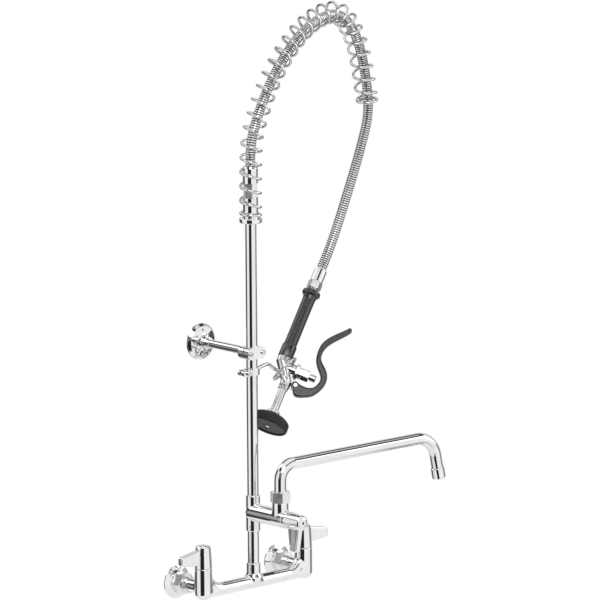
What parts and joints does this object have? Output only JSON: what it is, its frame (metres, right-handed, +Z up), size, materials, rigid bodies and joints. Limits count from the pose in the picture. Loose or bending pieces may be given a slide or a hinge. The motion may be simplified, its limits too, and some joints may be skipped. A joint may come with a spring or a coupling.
{
  "type": "wall-mounted pre-rinse faucet",
  "caption": "Chrome wall-mounted pre-rinse faucet: lever-handled mixing body, riser with spring-arched hose and black-gripped hand spray, add-on tee with swinging spout.",
  "frame": {"origin": "on the wall, midway between the two inlet axes", "axes": "+X from the hot inlet to the cold one, +Y into the wall, +Z up"},
  "size_m": [0.463, 0.2238, 0.8723],
  "materials": {
    "chrome": "polished chrome plate on cast brass and brass tube",
    "stainless": "bright stainless steel",
    "brass": "machined brass",
    "index_cap": "polished cap with a small dark centre",
    "hose_steel": "flexible stainless steel hose",
    "spring_steel": "bright spring wire",
    "grip_black": "matt black moulded grip",
    "lever_black": "satin black coated lever",
    "bumper_rubber": "dark grey rubber",
    "face_black": "dark grey moulded screen",
    "seal_rubber": "black rubber seal"
  },
  "bodies": {
    "faucet": {"faucet_body": "chrome", "wall_flanges": "chrome", "coupling_nuts": "chrome", "inlet_tails": "brass", "sealing_washers": "seal_rubber", "hot_cartridge": "brass", "cold_cartridge": "brass", "add_on_cartridge": "brass", "lower_nipple": "chrome", "add_on_tee": "chrome", "spout_nut": "chrome", "riser_pipe": "chrome", "bracket_clamp_front": "chrome", "bracket_clamp_back": "chrome", "bracket_clamp_screws": "stainless", "bracket_tube": "chrome", "bracket_nut": "chrome", "bracket_flange": "chrome", "bracket_set_screw": "stainless", "finger_hook": "chrome", "hook_screw": "stainless", "hook_nut": "stainless", "hold_down_ring": "stainless", "spring_nut": "chrome", "overhead_spring": "spring_steel", "hose_connector": "chrome", "hose_coupling": "chrome", "hose_end_sleeve": "chrome", "hose": "hose_steel", "hose_ferrule": "chrome", "hose_nut": "chrome", "grip_collar": "grip_black", "grip": "grip_black", "grip_sleeve": "grip_black", "grip_tube": "stainless", "valve_body": "chrome", "valve_bonnet": "chrome", "barrel": "chrome", "bumper": "bumper_rubber", "spray_face": "face_black", "face_screw": "stainless", "plunger_spring": "stainless"},
    "hot_valve": {"hot_handle": "chrome", "hot_index": "index_cap", "hot_stem": "brass", "hot_screw": "stainless"},
    "cold_valve": {"cold_handle": "chrome", "cold_index": "index_cap", "cold_stem": "brass", "cold_screw": "stainless"},
    "add_on_valve": {"add_on_handle": "chrome", "add_on_index": "index_cap", "add_on_stem": "brass", "add_on_screw": "stainless"},
    "spout": {"spout_tube": "chrome", "spout_tip": "chrome", "spout_o_rings": "seal_rubber"},
    "squeeze_lever": {"lever": "lever_black", "lever_screw": "stainless"},
    "spray_plunger": {"plunger": "chrome"}
  },
  "joints": [
    {"name": "hot_handle_turn", "type": "hinge", "parent": "faucet", "child": "hot_valve", "pos_m": [-0.1016, -0.06, 0.0305], "axis": [0, 0, 1], "range_deg": [0, 90]},
    {"name": "cold_handle_turn", "type": "hinge", "parent": "faucet", "child": "cold_valve", "pos_m": [0.1016, -0.06, 0.0305], "axis": [0, 0, -1], "range_deg": [0, 90]},
    {"name": "add_on_handle_turn", "type": "hinge", "parent": "faucet", "child": "add_on_valve", "pos_m": [0, -0.135, 0.1], "axis": [0, 1, 0], "range_deg": [0, 90]},
    {"name": "spout_swing", "type": "hinge", "parent": "faucet", "child": "spout", "pos_m": [0, -0.12, 0.13], "axis": [0, 0, 1], "range_deg": [-185.7, 14.3]},
    {"name": "lever_squeeze", "type": "hinge", "parent": "faucet", "child": "squeeze_lever", "pos_m": [0.09091, -0.05582, 0.27736], "axis": [-0.4935, -0.7127, 0.4986], "range_deg": [0, 22], "stiffness_Nm_per_rad": 0.3, "springref_deg": -20.05},
    {"name": "plunger_press", "type": "slide", "parent": "faucet", "child": "spray_plunger", "axis": [-0.6187, 0.6905, 0.3747], "range_m": [0, 0.0045], "stiffness_N_per_m": 400, "springref_m": -0.004, "deforming": ["plunger_spring"]}
  ],
  "couplings": [
    {"joint": "plunger_press", "follows": "lever_squeeze", "m_per_rad": 0.01146}
  ]
}
